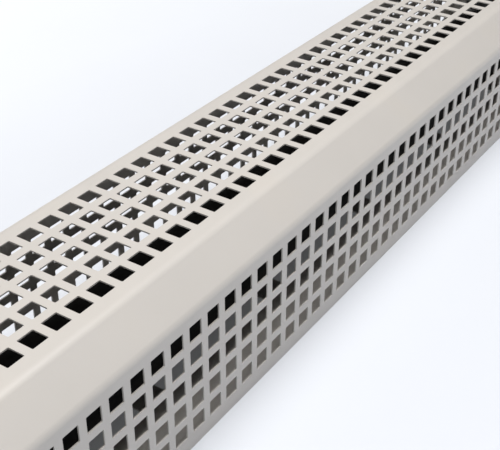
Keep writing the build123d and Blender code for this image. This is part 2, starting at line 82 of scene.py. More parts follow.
class HeaterSizes(bpy.types.PropertyGroup):
    """Sizes of the sheet work and of its edges."""

    hole_pitch: FloatProperty(
        name="Hole Pitch", description="From one square hole to the next", default=12 * MM, unit="LENGTH"
    )
    hole_side: FloatProperty(
        name="Hole Side", description="Side of each square hole", default=8 * MM, unit="LENGTH"
    )
    hole_corner: FloatProperty(
        name="Hole Corner", description="Cut across each corner of a hole", default=0.35 * MM, unit="LENGTH"
    )
    hole_rows: IntProperty(
        name="Hole Rows", description="Rows of holes on the front, the top and the back", default=5, min=1
    )
    sheet: FloatProperty(
        name="Hood Sheet", description="Thickness of the hood's sheet", default=0.8 * MM, unit="LENGTH"
    )
    front_band: FloatProperty(
        name="Front Band", description="Leg of the sloping band along the upper front edge",
        default=14.6 * MM, unit="LENGTH"
    )
    back_band: FloatProperty(
        name="Back Band", description="Leg of the sloping band along the upper back edge",
        default=12 * MM, unit="LENGTH"
    )
    top_rows_middle: FloatProperty(
        name="Top Rows", description="How far the top's middle row lies behind the middle",
        default=1.25 * MM, unit="LENGTH"
    )
    back_rows_drop: FloatProperty(
        name="Back Rows", description="How much lower the back's rows lie than the front's",
        default=1.2 * MM, unit="LENGTH"
    )
    fold: FloatProperty(
        name="Fold Radius", description="Outside radius of the hood's folds", default=5.5 * MM, unit="LENGTH"
    )
    paint_edge: FloatProperty(
        name="Paint Edge", description="Rounding that the paint gives a sheet edge",
        default=0.1 * MM, unit="LENGTH"
    )
    tube_wall: FloatProperty(
        name="Tube Wall", description="Thickness of the heating tube's wall", default=1.0 * MM, unit="LENGTH"
    )
    tube_roll: FloatProperty(
        name="Tube Roll", description="How far from each end the tube is rolled in",
        default=0.6 * MM, unit="LENGTH"
    )
    mark_height: FloatProperty(
        name="Mark Height", description="How thick the printed marks round the knob are",
        default=0.12 * MM, unit="LENGTH"
    )


class HeaterColours(bpy.types.PropertyGroup):
    """The colours that the finishes start from."""

    paint: FloatVectorProperty(
        name="Casing Paint", description="Satin powder coat on the casing", subtype="COLOR",
        size=3, min=0, max=1, default=(0.612, 0.584, 0.553)
    )
    enamel: FloatVectorProperty(
        name="Tube Enamel", description="Black enamel on the heating tube", subtype="COLOR",
        size=3, min=0, max=1, default=(0.0016, 0.0014, 0.0013)
    )
    moulding: FloatVectorProperty(
        name="Moulding", description="Black moulded parts", subtype="COLOR",
        size=3, min=0, max=1, default=(0.018, 0.018, 0.019)
    )
    floor: FloatVectorProperty(
        name="Floor", description="The studio floor", subtype="COLOR",
        size=3, min=0, max=1, default=(0.72, 0.75, 0.81)
    )
    overhead: FloatVectorProperty(
        name="Overhead Light", description="The large soft light above", subtype="COLOR",
        size=3, min=0, max=1, default=(1.0, 0.985, 0.965)
    )
    glow: FloatVectorProperty(
        name="Floor Glow", description="The floor's own light", subtype="COLOR",
        size=3, min=0, max=1, default=(0.97, 0.985, 1.0)
    )
    room: FloatVectorProperty(
        name="Room", description="The room round the studio", subtype="COLOR",
        size=3, min=0, max=1, default=(0.92, 0.96, 1.0)
    )


class HeaterStudio(bpy.types.PropertyGroup):
    """The camera, the light and the floor."""

    camera_place: FloatVectorProperty(
        name="Camera Place", description="Where the camera stands", subtype="TRANSLATION", unit="LENGTH",
        size=3, default=(-0.35825, -0.24431, 0.31636)
    )
    camera_turn: FloatVectorProperty(
        name="Camera Turn", description="How the camera is turned", subtype="EULER",
        size=3, default=(radians(56.8407), radians(-0.8579), radians(-57.2162))
    )
    camera_lens: FloatProperty(
        name="Lens", description="Focal length on a 36 mm sensor", default=73.482, min=1, unit="CAMERA"
    )
    camera_shift: FloatVectorProperty(
        name="Camera Shift", description="How far the view is shifted, in sensor widths",
        size=2, default=(-0.05668, 0.00413)
    )
    overhead_power: FloatProperty(
        name="Overhead Power", description="Strength of the large soft light above",
        default=29.1, min=0, unit="POWER"
    )
    overhead_place: FloatVectorProperty(
        name="Overhead Place", description="Where the light above hangs", subtype="TRANSLATION",
        unit="LENGTH", size=3, default=(-0.08, -0.10, 1.5)
    )
    overhead_aim: FloatVectorProperty(
        name="Overhead Aim", description="The point that the light above looks at", subtype="TRANSLATION",
        unit="LENGTH", size=3, default=(-0.02, 0, 0)
    )
    overhead_size: FloatVectorProperty(
        name="Overhead Size", description="Length and width of the light above", unit="LENGTH",
        size=2, default=(1.3, 0.8)
    )
    floor_side: FloatProperty(
        name="Floor Side", description="Side of the square floor", default=60, min=1, unit="LENGTH"
    )
    glow_reach: FloatProperty(
        name="Glow Reach", description="How far out the floor's own light reaches its full strength",
        default=3.0, min=0.1, unit="LENGTH"
    )
    room_light: FloatProperty(
        name="Room Light", description="Brightness of the room round the studio", default=0.05, min=0
    )


def sizes():
    return bpy.context.scene.heater_sizes


def colours():
    return bpy.context.scene.heater_colours


def studio():
    return bpy.context.scene.heater_studio


# ---- Handling meshes -----------------------------------------------------------------------

def clear_selection():
    if bpy.context.object and bpy.context.object.mode != "OBJECT":
        bpy.ops.object.mode_set(mode="OBJECT")
    bpy.ops.object.select_all(action="DESELECT")


def take(obj):
    """Selects one object alone and makes it active."""
    clear_selection()
    obj.select_set(True)
    bpy.context.view_layer.objects.active = obj


def edit_all(obj, operator, **settings):
    """Runs an edit mode operator on everything in one object's mesh."""
    take(obj)
    bpy.ops.object.mode_set(mode="EDIT")
    bpy.ops.mesh.select_all(action="SELECT")
    operator(**settings)
    bpy.ops.object.mode_set(mode="OBJECT")


def choose(obj, kind, wanted):
    """Goes into edit mode with the vertices, edges or faces selected that wanted says yes to."""
    take(obj)
    bpy.ops.object.mode_set(mode="EDIT")
    bpy.ops.mesh.select_mode(type=kind)
    bpy.ops.mesh.select_all(action="DESELECT")
    bpy.ops.object.mode_set(mode="OBJECT")
    mesh = obj.data
    found = 0
    if kind == "VERT":
        for vertex in mesh.vertices:
            vertex.select = wanted(vertex.co)
            found += vertex.select
    elif kind == "EDGE":
        for edge in mesh.edges:
            ends = [mesh.vertices[i].co for i in edge.vertices]
            edge.select = wanted(*ends)
            found += edge.select
    else:
        for face in mesh.polygons:
            face.select = wanted(face.center, face.normal)
            found += face.select
    bpy.ops.object.mode_set(mode="EDIT")
    if not found:
        raise RuntimeError(f"nothing to select on {obj.name}")


def apply_modifier(obj, kind, **settings):
    """Adds a modifier with these settings and applies it."""
    take(obj)
    modifier = obj.modifiers.new(kind.title(), kind)
    for name, value in settings.items():
        setattr(modifier, name, value)
    bpy.ops.object.modifier_apply(modifier=modifier.name)


def settle(obj):
    """Puts an object's place, turn and scale into its mesh."""
    take(obj)
    bpy.ops.object.transform_apply(location=True, rotation=True, scale=True)


def join(objects, name):
    clear_selection()
    for obj in objects:
        obj.select_set(True)
    bpy.context.view_layer.objects.active = objects[0]
    bpy.ops.object.join()
    objects[0].name = name
    objects[0].data.name = name
    return objects[0]


def merge_doubles(obj, distance):
    edit_all(obj, bpy.ops.mesh.remove_doubles, threshold=distance)


def face_outwards(obj):
    edit_all(obj, bpy.ops.mesh.normals_make_consistent, inside=False)


def soften(obj, rounding, sharp=radians(38), segments=2):
    """Rounds the edges sharper than an angle, and shades the faces by their size."""
    take(obj)
    bpy.ops.object.shade_smooth_by_angle(angle=sharp)
    apply_modifier(
        obj, "BEVEL", width=rounding, segments=segments, limit_method="ANGLE", angle_limit=sharp,
        use_clamp_overlap=True, miter_outer="MITER_ARC",
    )
    take(obj)
    bpy.ops.object.shade_smooth_by_angle(angle=sharp)
    apply_modifier(obj, "WEIGHTED_NORMAL", keep_sharp=True, weight=70)


def finish_piece(obj, body, nodes, material):
    """Gives a finished piece its body, the nodes it stands for and its material."""
    obj.data.materials.clear()
    obj.data.materials.append(material)
    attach(obj, body)
    if nodes:
        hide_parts(*nodes)
    return obj


def finer_copy(node, name):
    """A copy of a CAD node with its doubles merged and its flat triangles joined to faces."""
    source = frame["nodes"][node]
    mesh = source.data.copy()
    mesh.name = name
    obj = bpy.data.objects.new(name, mesh)
    bpy.context.scene.collection.objects.link(obj)
    take(obj)
    if mesh.has_custom_normals:
        bpy.ops.mesh.customdata_custom_splitnormals_clear()
    merge_doubles(obj, 0.002 * MM)
    edit_all(obj, bpy.ops.mesh.dissolve_limited, angle_limit=radians(0.6))
    return obj


# ---- Handling finishes ---------------------------------------------------------------------

class Finish:
    """A material under construction: its node tree, its shader, and the piece's own coordinates."""

    def __init__(self, name):
        self.material = bpy.data.materials.new(name)
        self.material.use_nodes = True
        self.tree = self.material.node_tree
        self.shader = next(n for n in self.tree.nodes if n.type == "BSDF_PRINCIPLED")
        self.place = self.tree.nodes.new("ShaderNodeTexCoord").outputs["Object"]

    def link(self, a, b):
        self.tree.links.new(a, b)

    def stretched(self, scale):
        """The piece's own coordinates, drawn out along an axis."""
        mapping = self.tree.nodes.new("ShaderNodeMapping")
        mapping.inputs["Scale"].default_value = scale
        self.link(self.place, mapping.inputs["Vector"])
        return mapping.outputs["Vector"]

    def noise(self, size, detail, along=None):
        """Soft random variation whose patches are about this many metres across."""
        node = self.tree.nodes.new("ShaderNodeTexNoise")
        node.inputs["Scale"].default_value = 1 / size
        node.inputs["Detail"].default_value = detail
        self.link(along or self.place, node.inputs["Vector"])
        return node.outputs["Fac"]

    def ramp(self, factor, stops):
        """Colours or greys at places from 0 to 1 along the factor."""
        node = self.tree.nodes.new("ShaderNodeValToRGB")
        elements = node.color_ramp.elements
        while len(elements) < len(stops):
            elements.new(0.5)
        for element, (spot, colour) in zip(elements, stops):
            element.position = spot
            element.color = (*colour, 1)
        self.link(factor, node.inputs["Fac"])
        return node.outputs["Color"]

    def spread(self, factor, low, high):
        """Stretches the middle of a noise to run from low to high."""
        node = self.tree.nodes.new("ShaderNodeMapRange")
        node.inputs["From Min"].default_value = 0.3
        node.inputs["From Max"].default_value = 0.7
        node.inputs["To Min"].default_value = low
        node.inputs["To Max"].default_value = high
        self.link(factor, node.inputs["Value"])
        return node.outputs["Result"]

    def relief(self, height, depth, strength, under=None):
        """Bump from a height pattern, this many metres deep, on top of another."""
        node = self.tree.nodes.new("ShaderNodeBump")
        node.inputs["Strength"].default_value = strength
        node.inputs["Distance"].default_value = depth
        self.link(height, node.inputs["Height"])
        if under:
            self.link(under, node.inputs["Normal"])
        return node.outputs["Normal"]

    def wear(self, colour, roughness, normal=None, **constants):
        """Connects what varies to the shader, and sets the rest on its own sockets."""
        for socket, source in (("Base Color", colour), ("Roughness", roughness), ("Normal", normal)):
            if source is not None:
                self.link(source, self.shader.inputs[socket])
        for socket, value in constants.items():
            self.shader.inputs[socket.replace("_", " ")].default_value = value
        return self.material


def tint(colour, factor):
    return tuple(min(1.0, c * factor) for c in colour)


def powder_coat():
    """Satin powder coat: a faint mottle, a fine orange peel, and a little change of gloss."""
    finish = Finish("satin_powder_coat")
    base = tuple(colours().paint)
    warm = (base[0] * 1.012, base[1] * 1.002, base[2] * 0.985)
    colour = finish.ramp(
        finish.noise(45 * MM, detail=4.0), [(0.30, tint(base, 0.978)), (0.52, base), (0.72, warm)]
    )
    peel = finish.relief(finish.noise(1.5 * MM, detail=2.0), depth=0.035 * MM, strength=0.55)
    grain = finish.relief(finish.noise(0.35 * MM, detail=1.0), depth=0.008 * MM, strength=0.5, under=peel)
    gloss = finish.spread(finish.noise(9 * MM, detail=3.0), low=0.36, high=0.46)
    return finish.wear(colour, gloss, grain, Specular_IOR_Level=0.5)


def tube_enamel():
    """Black enamel, with a soft sheen that changes where the tube has been hot."""
    finish = Finish("black_tube_enamel")
    base = tuple(colours().enamel)
    along = finish.stretched((0.35, 1.0, 1.0))
    colour = finish.ramp(
        finish.noise(30 * MM, detail=5.0, along=along), [(0.3, base), (0.7, tint(base, 1.7))]
    )
    peel = finish.relief(finish.noise(0.9 * MM, detail=3.0), depth=0.02 * MM, strength=0.5)
    gloss = finish.spread(finish.noise(14 * MM, detail=4.0, along=along), low=0.42, high=0.60)
    return finish.wear(colour, gloss, peel, Specular_IOR_Level=0.07)


def zinc_plate():
    """Clear zinc plate: a blue-grey metal with a cloudy gloss and fine rolling lines."""
    finish = Finish("zinc_plate")
    colour = finish.ramp(
        finish.noise(4 * MM, detail=4.0),
        [(0.28, (0.52, 0.53, 0.55)), (0.50, (0.63, 0.63, 0.63)), (0.74, (0.70, 0.69, 0.66))],
    )
    lines = finish.stretched((0.08, 1.0, 1.0))
    brushed = finish.relief(finish.noise(0.12 * MM, detail=2.0, along=lines), depth=0.004 * MM, strength=0.5)
    gloss = finish.spread(finish.noise(2.2 * MM, detail=3.0), low=0.27, high=0.44)
    return finish.wear(colour, gloss, brushed, Metallic=1.0)


def element_sheath():
    """A nickel alloy sheath, stained straw, brown and blue by heat along its length."""
    finish = Finish("heat_stained_sheath")
    along = finish.stretched((0.25, 1.0, 1.0))
    colour = finish.ramp(
        finish.noise(12 * MM, detail=4.0, along=along),
        [
            (0.25, (0.16, 0.15, 0.15)), (0.45, (0.30, 0.24, 0.17)),
            (0.58, (0.22, 0.17, 0.19)), (0.75, (0.20, 0.22, 0.27)),
        ],
    )
    scale = finish.relief(finish.noise(0.4 * MM, detail=3.0), depth=0.01 * MM, strength=0.5)
    gloss = finish.spread(finish.noise(3 * MM, detail=3.0), low=0.38, high=0.58)
    return finish.wear(colour, gloss, scale, Metallic=1.0)


def fired_ceramic():
    """Unglazed white ceramic, with a sandy grain and faint iron specks."""
    finish = Finish("fired_ceramic")
    base = tuple(SLOT_COLOURS["insulator"])
    clean = finish.ramp(finish.noise(3 * MM, detail=4.0), [(0.3, tint(base, 0.93)), (0.7, base)])
    specks = finish.ramp(finish.noise(0.5 * MM, detail=1.0), [(0.70, (0, 0, 0)), (0.78, (1, 1, 1))])
    mix = finish.tree.nodes.new("ShaderNodeMix")
    mix.data_type = "RGBA"
    finish.link(specks, mix.inputs["Factor"])
    finish.link(clean, mix.inputs["A"])
    mix.inputs["B"].default_value = (0.52, 0.45, 0.36, 1)
    sand = finish.relief(finish.noise(0.25 * MM, detail=2.0), depth=0.012 * MM, strength=0.7)
    gloss = finish.spread(finish.noise(2 * MM, detail=2.0), low=0.55, high=0.72)
    return finish.wear(mix.outputs["Result"], gloss, sand)


def textured_moulding():
    """Moulded plastic with a spark-eroded texture and a slight bloom."""
    finish = Finish("textured_moulding")
    base = tuple(colours().moulding)
    colour = finish.ramp(finish.noise(6 * MM, detail=4.0), [(0.3, base), (0.7, tint(base, 1.35))])
    spark = finish.relief(finish.noise(0.28 * MM, detail=2.0), depth=0.02 * MM, strength=0.6)
    gloss = finish.spread(finish.noise(1.2 * MM, detail=3.0), low=0.42, high=0.58)
    return finish.wear(colour, gloss, spark)


def machined_brass():
    """Brass with fine turning lines and a little tarnish."""
    finish = Finish("machined_brass")
    base = tuple(SLOT_COLOURS["brass"])
    colour = finish.ramp(
        finish.noise(2.5 * MM, detail=4.0), [(0.28, tint(base, 0.78)), (0.5, base), (0.75, tint(base, 1.08))]
    )
    lines = finish.stretched((1.0, 0.1, 0.1))
    turned = finish.relief(finish.noise(0.09 * MM, detail=1.0, along=lines), depth=0.004 * MM, strength=0.5)
    gloss = finish.spread(finish.noise(1.5 * MM, detail=3.0), low=0.22, high=0.38)
    return finish.wear(colour, gloss, turned, Metallic=1.0)


def drawn_copper():
    """Copper with drawing lines along X and darker patches where it was warm."""
    finish = Finish("drawn_copper")
    base = tuple(SLOT_COLOURS["bulb_copper"])
    colour = finish.ramp(
        finish.noise(5 * MM, detail=4.0), [(0.25, tint(base, 0.6)), (0.5, base), (0.75, tint(base, 1.12))]
    )
    lines = finish.stretched((0.05, 1.0, 1.0))
    drawn = finish.relief(finish.noise(0.15 * MM, detail=2.0, along=lines), depth=0.004 * MM, strength=0.5)
    gloss = finish.spread(finish.noise(2 * MM, detail=3.0), low=0.26, high=0.42)
    return finish.wear(colour, gloss, drawn, Metallic=1.0)


def seal_rubber():
    """Moulded rubber: dull, with a pale bloom in patches."""
    finish = Finish("seal_rubber")
    base = tuple(SLOT_COLOURS["seal_rubber"])
    colour = finish.ramp(finish.noise(4 * MM, detail=5.0), [(0.3, base), (0.75, tint(base, 1.9))])
    skin = finish.relief(finish.noise(0.3 * MM, detail=3.0), depth=0.015 * MM, strength=0.6)
    gloss = finish.spread(finish.noise(2 * MM, detail=2.0), low=0.68, high=0.85)
    return finish.wear(colour, gloss, skin, Specular_IOR_Level=0.4)


def silicone_skin(finish, colour):
    """Gives silicone of this colour its fine grain and its handling marks."""
    skin = finish.relief(finish.noise(0.25 * MM, detail=2.0), depth=0.006 * MM, strength=0.5)
    gloss = finish.spread(finish.noise(2.5 * MM, detail=3.0), low=0.38, high=0.55)
    return finish.wear(colour, gloss, skin)


def silicone(slot):
    """Silicone insulation of one colour, a little darker and lighter along the wire."""
    finish = Finish(f"{slot}_silicone")
    base = tuple(SLOT_COLOURS[slot])
    colour = finish.ramp(finish.noise(7 * MM, detail=4.0), [(0.3, tint(base, 0.85)), (0.7, tint(base, 1.15))])
    return silicone_skin(finish, colour)


def earth_stripes():
    """Green silicone with a yellow stripe that winds round the wire."""
    finish = Finish("green_and_yellow_silicone")
    wave = finish.tree.nodes.new("ShaderNodeTexWave")
    wave.bands_direction = "DIAGONAL"
    wave.inputs["Scale"].default_value = 0.055 / MM
    finish.link(finish.place, wave.inputs["Vector"])
    green = SLOT_COLOURS["wire_green"]
    colour = finish.ramp(
        wave.outputs["Fac"],
        [(0.0, tint(green, 0.9)), (0.55, green), (0.62, (0.72, 0.58, 0.05)), (1.0, (0.78, 0.63, 0.06))],
    )
    return silicone_skin(finish, colour)


def dial_ink():
    """Pad-printed grey ink, slightly uneven at the edge of each mark."""
    finish = Finish("dial_ink")
    colour = finish.ramp(
        finish.noise(0.6 * MM, detail=3.0), [(0.3, (0.06, 0.06, 0.065)), (0.7, (0.09, 0.09, 0.095))]
    )
    skin = finish.relief(finish.noise(0.2 * MM, detail=2.0), depth=0.004 * MM, strength=0.5)
    gloss = finish.spread(finish.noise(1.0 * MM, detail=2.0), low=0.45, high=0.6)
    return finish.wear(colour, gloss, skin)


def pointer_paint():
    """The white paint on the knob's raised pointer, a little thinner in places."""
    finish = Finish("pointer_paint")
    colour = finish.ramp(
        finish.noise(0.8 * MM, detail=3.0), [(0.3, (0.72, 0.72, 0.70)), (0.7, (0.82, 0.82, 0.80))]
    )
    skin = finish.relief(finish.noise(0.3 * MM, detail=2.0), depth=0.01 * MM, strength=0.5)
    gloss = finish.spread(finish.noise(1.0 * MM, detail=2.0), low=0.4, high=0.55)
    return finish.wear(colour, gloss, skin)


def studio_floor():
    """A smooth pale surface with painted light: it glows more and more away from the heater, to a bright horizon,
    and its dim patch round the heater is painted shade.
    """
    finish = Finish("studio_floor")
    base = tuple(colours().floor)
    colour = finish.ramp(finish.noise(180 * MM, detail=3.0), [(0.3, tint(base, 0.992)), (0.7, base)])
    gloss = finish.spread(finish.noise(60 * MM, detail=2.0), low=0.72, high=0.80)
    reach = finish.tree.nodes.new("ShaderNodeTexGradient")
    reach.gradient_type = "SPHERICAL"
    along = 1 / studio().glow_reach
    across = 2 * along       # in front and behind, the glow grows over half the distance
    finish.link(finish.stretched((along, across, across)), reach.inputs["Vector"])
    # Painted light: the glow is faint right round the heater, which leaves painted shade there, and nearly full
    # far out.
    levels = ((0.0, 0.96), (0.33, 0.78), (0.6, 0.48), (0.72, 0.34), (0.82, 0.22), (0.9, 0.08), (1.0, 0.05))
    glow = finish.ramp(
        reach.outputs["Fac"], [(spot, tint(colours().glow, level)) for spot, level in levels]
    )
    finish.link(glow, finish.shader.inputs["Emission Color"])
    return finish.wear(colour, gloss, Specular_IOR_Level=0.2, Emission_Strength=1.0)


finishes = {}
makers = {
    "casing_paint": powder_coat,
    "tube_enamel": tube_enamel,
    "plated_steel": zinc_plate,
    "element_sheath": element_sheath,
    "insulator": fired_ceramic,
    "black_moulding": textured_moulding,
    "brass": machined_brass,
    "seal_rubber": seal_rubber,
    "bulb_copper": drawn_copper,
    "wire_brown": lambda: silicone("wire_brown"),
    "wire_blue": lambda: silicone("wire_blue"),
    "wire_green": earth_stripes,
}


def finish_of(slot):
    """The one material of a slot, made when it is first asked for."""
    if slot not in finishes:
        finishes[slot] = makers[slot]()
    return finishes[slot]


def slot_of(node):
    return next(p["material_slot"] for p in frame["record"]["subparts"] if p["node"] == node)


def body_with(node):
    return next(b for b, nodes in frame["record"]["behaviour"]["bodies"].items() if node in nodes)


def refine(nodes, rounding):
    """Lets a copy of each of these CAD nodes, with rounded edges and its slot's finish, stand for it."""
    made = []
    for node in nodes:
        piece = finer_copy(node, f"{node}_finished")
        soften(piece, rounding)
        slot = slot_of(node)
        made.append(finish_piece(piece, body_with(node), [node], finish_of(slot)))
    return made


# ---- The perforated hood -------------------------------------------------------------------

FOLD_STEPS = 6
EIGHTH = radians(45)     # each of the hood's four folds is an eighth of a turn


def hole_cells(columns, rows):
    """A flat patch of square cells on XY, each with a square hole, centred on the origin."""
    size = sizes()
    bpy.ops.mesh.primitive_plane_add(size=size.hole_pitch, location=(0, 0, 0))
    patch = bpy.context.object
    bpy.ops.object.mode_set(mode="EDIT")
    bpy.ops.mesh.select_mode(type="FACE")
    bpy.ops.mesh.select_all(action="SELECT")
    bpy.ops.mesh.inset(thickness=(size.hole_pitch - size.hole_side) / 2)
    bpy.ops.object.mode_set(mode="OBJECT")
    half = size.hole_side / 2 + NEAR
    choose(patch, "VERT", lambda p: abs(p.x) < half and abs(p.y) < half)
    bpy.ops.mesh.bevel(offset=size.hole_corner, segments=1, affect="VERTICES")
    bpy.ops.object.mode_set(mode="OBJECT")
    choose(patch, "FACE", lambda centre, normal: centre.length < size.hole_corner)
    bpy.ops.mesh.delete(type="ONLY_FACE")
    bpy.ops.object.mode_set(mode="OBJECT")
    for count, step in ((columns, (size.hole_pitch, 0, 0)), (rows, (0, size.hole_pitch, 0))):
        apply_modifier(
            patch, "ARRAY", count=count, use_relative_offset=False, use_constant_offset=True,
            constant_offset_displace=step, use_merge_vertices=True, merge_threshold=NEAR,
        )
    patch.location = (-(columns - 1) * size.hole_pitch / 2, -(rows - 1) * size.hole_pitch / 2, 0)
    settle(patch)
    return patch


def stretch_edge(obj, wanted, move):
    """Extrudes the chosen edges by a move."""
    choose(obj, "EDGE", lambda a, b: wanted(a) and wanted(b))
    bpy.ops.mesh.extrude_region_move(TRANSFORM_OT_translate={"value": move})
    bpy.ops.object.mode_set(mode="OBJECT")


def fold_edge(obj, wanted, centre, angle):
    """Spins the chosen edges about an axis along X, as a fold."""
    choose(obj, "EDGE", lambda a, b: wanted(a) and wanted(b))
    bpy.ops.mesh.spin(steps=FOLD_STEPS, angle=angle, center=centre, axis=(1, 0, 0))
    bpy.ops.object.mode_set(mode="OBJECT")


def make_hood_sheet():
    """The hood: a perforated top and two perforated walls, joined by sloping bands with round folds."""
    size = sizes()
    columns = round(2 * HALF_LENGTH / size.hole_pitch) - 1
    half_grid = size.hole_rows * size.hole_pitch / 2
    front_middle = size.hole_pitch * (size.hole_rows + 1) / 2
    tangent = size.fold * tan(EIGHTH / 2)

    def on_line(y, z):
        return lambda p: abs(p.y - y) < NEAR and abs(p.z - z) < NEAR

    top = hole_cells(columns, size.hole_rows)
    top.location = (0, size.top_rows_middle, HEIGHT)
    settle(top)
    walls = []
    for side, band, drop in ((-1, size.front_band, 0), (1, size.back_band, size.back_rows_drop)):
        rim = size.top_rows_middle + side * half_grid
        crown = side * (HALF_WIDTH - band - tangent)
        shoulder = HEIGHT - band - tangent
        slope = band - 2 * tangent * cos(EIGHTH)
        wall_middle = front_middle - drop

        stretch_edge(top, on_line(rim, HEIGHT), (0, crown - rim, 0))
        fold_edge(top, on_line(crown, HEIGHT), (0, crown, HEIGHT - size.fold), side * EIGHTH)
        y = crown + side * size.fold * sin(EIGHTH)
        z = HEIGHT - size.fold * (1 - cos(EIGHTH))
        stretch_edge(top, on_line(y, z), (0, side * slope, -slope))
        y += side * slope
        z -= slope
        fold_edge(top, on_line(y, z), (0, side * (HALF_WIDTH - size.fold), shoulder), side * EIGHTH)
        drop_to_grid = wall_middle + half_grid - shoulder
        stretch_edge(top, on_line(side * HALF_WIDTH, shoulder), (0, 0, drop_to_grid))

        wall = hole_cells(columns, size.hole_rows)
        wall.rotation_euler = (-side * radians(90), 0, 0)
        wall.location = (0, side * HALF_WIDTH, wall_middle)
        settle(wall)
        foot = wall_middle - half_grid
        stretch_edge(wall, on_line(side * HALF_WIDTH, foot), (0, 0, -foot))
        walls.append(wall)

    hood = join([top, *walls], "hood_sheet")
    merge_doubles(hood, NEAR)
    edge = columns * size.hole_pitch / 2
    for end in (-1, 1):
        stretch_edge(hood, lambda p, x=end * edge: abs(p.x - x) < NEAR, (end * (HALF_LENGTH - edge), 0, 0))
    merge_doubles(hood, NEAR)
    face_outwards(hood)
    highest = max(hood.data.polygons, key=lambda face: face.center.z)
    if highest.normal.z < 0:
        edit_all(hood, bpy.ops.mesh.flip_normals)
    apply_modifier(hood, "SOLIDIFY", thickness=size.sheet, offset=-1, use_even_offset=True)
    soften(hood, size.paint_edge, sharp=radians(50), segments=1)
    return hood


# ---- The heating tube ----------------------------------------------------------------------

def make_tube_skin():
    """The tube: a round skin whose ends are rolled in a little before the plugs."""
    size = sizes()
    roll = size.tube_roll
    bpy.ops.mesh.primitive_cylinder_add(
        vertices=112, radius=TUBE_RADIUS, depth=TUBE_LENGTH - 2 * roll, end_fill_type="NOTHING",
        location=(0, 0, 0)
    )
    tube = bpy.context.object
    tube.name = "tube_skin"
    for end in (-1, 1):
        rim = end * (TUBE_LENGTH / 2 - roll)
        for inwards in (0.12 * roll, 0.42 * roll):
            choose(tube, "EDGE", lambda a, b, z=rim: abs(a.z - z) < NEAR and abs(b.z - z) < NEAR)
            bpy.ops.mesh.extrude_region_move(TRANSFORM_OT_translate={"value": (0, 0, end * roll / 2)})
            narrower = 1 - inwards / TUBE_RADIUS
            bpy.ops.transform.resize(value=(narrower, narrower, 1), center_override=(0, 0, 0))
            bpy.ops.object.mode_set(mode="OBJECT")
            rim += end * roll / 2
    tube.rotation_euler = (0, radians(90), 0)
    tube.location = TUBE_MIDDLE
    settle(tube)
    face_outwards(tube)
    apply_modifier(tube, "SOLIDIFY", thickness=size.tube_wall, offset=-1, use_even_offset=True)
    take(tube)
    bpy.ops.object.shade_smooth_by_angle(angle=radians(40))
    return tube


# ---- The dial on the end cap ---------------------------------------------------------------

# Turns what is drawn flat, with +Y upwards, to stand up and face +X.
FLAT_TO_END_FACE = Matrix(((0, 0, 1, 0), (1, 0, 0, 0), (0, 1, 0, 0), (0, 0, 0, 1)))


def make_dial_marks():
    """Printed marks round the knob: thin raised bars that grow from the off mark to full heat."""
    steps = 10
    inner_radius = 19.6 * MM
    sunk = 0.02 * MM
    raised = sizes().mark_height
    marks = []
    for number in range(steps + 1):
        share = number / steps
        length = (1.6 + 1.8 * share) * MM
        wide = (0.7 + 0.5 * share) * MM
        bpy.ops.mesh.primitive_plane_add(size=1, location=(0, 0, 0))
        mark = bpy.context.object
        mark.scale = (wide, length, 1)
        mark.location = (0, inner_radius + length / 2, 0)
        settle(mark)
        edit_all(mark, bpy.ops.mesh.extrude_region_move, TRANSFORM_OT_translate={"value": (0, 0, raised)})
        face_outwards(mark)
        choose(mark, "EDGE", lambda a, b: abs(a.z - b.z) > raised / 2)
        rounding = 0.45 * wide
        bpy.ops.mesh.bevel(offset=rounding, segments=3, affect="EDGES")
        bpy.ops.object.mode_set(mode="OBJECT")
        mark.matrix_world = (
            Matrix.Translation((END_FACE - sunk, KNOB_MIDDLE[1], KNOB_MIDDLE[2]))
            @ FLAT_TO_END_FACE
            @ Matrix.Rotation(-KNOB_TRAVEL * share, 4, "Z")
        )
        settle(mark)
        marks.append(mark)
    dial = join(marks, "dial_marks")
    take(dial)
    bpy.ops.object.shade_smooth_by_angle(angle=radians(40))
    return dial


# ---- One operator for each piece or group --------------------------------------------------

class HEATER_OT_hood(bpy.types.Operator):
    """Model the perforated hood from one hole cell, its rows and its folds"""

    bl_idname = "heater.hood"
    bl_label = "Perforated Hood"

    def execute(self, context):
        hood = make_hood_sheet()
        finish_piece(hood, "casing", ["perforated_hood"], finish_of("casing_paint"))
        return {"FINISHED"}


class HEATER_OT_end_caps(bpy.types.Operator):
    """Round the edges of the two end caps and paint them"""

    bl_idname = "heater.end_caps"
    bl_label = "End Caps"

    def execute(self, context):
        refine(["end_cap_left", "end_cap_right"], rounding=0.35 * MM)
        return {"FINISHED"}


class HEATER_OT_base_tray(bpy.types.Operator):
    """Round the edges of the slotted base tray and paint it"""

    bl_idname = "heater.base_tray"
    bl_label = "Base Tray"

    def execute(self, context):
        refine(["base_tray"], rounding=0.18 * MM)
        return {"FINISHED"}


class HEATER_OT_tube(bpy.types.Operator):
    """Model the heating tube and finish its two plugs"""

    bl_idname = "heater.tube"
    bl_label = "Heating Tube"

    def execute(self, context):
        tube = make_tube_skin()
        finish_piece(tube, "casing", ["heater_tube"], finish_of("tube_enamel"))
        refine(["tube_plug_left", "tube_plug_right"], rounding=0.25 * MM)
        return {"FINISHED"}


class HEATER_OT_element(bpy.types.Operator):
    """Finish the element inside the tube, with its pins, seals and spacers"""

    bl_idname = "heater.element"
    bl_label = "Heating Element"

    def execute(self, context):
        refine(["heating_element", "element_pins", "element_seals", "element_spacers"], rounding=0.2 * MM)
        return {"FINISHED"}


class HEATER_OT_supports(bpy.types.Operator):
    """Finish the saddles and straps that hold the tube, and their screws and nuts"""

    bl_idname = "heater.supports"
    bl_label = "Tube Supports"

    def execute(self, context):
        refine(["tube_saddles", "tube_straps"], rounding=0.25 * MM)
        refine(["strap_screws", "strap_nuts"], rounding=0.12 * MM)
        return {"FINISHED"}


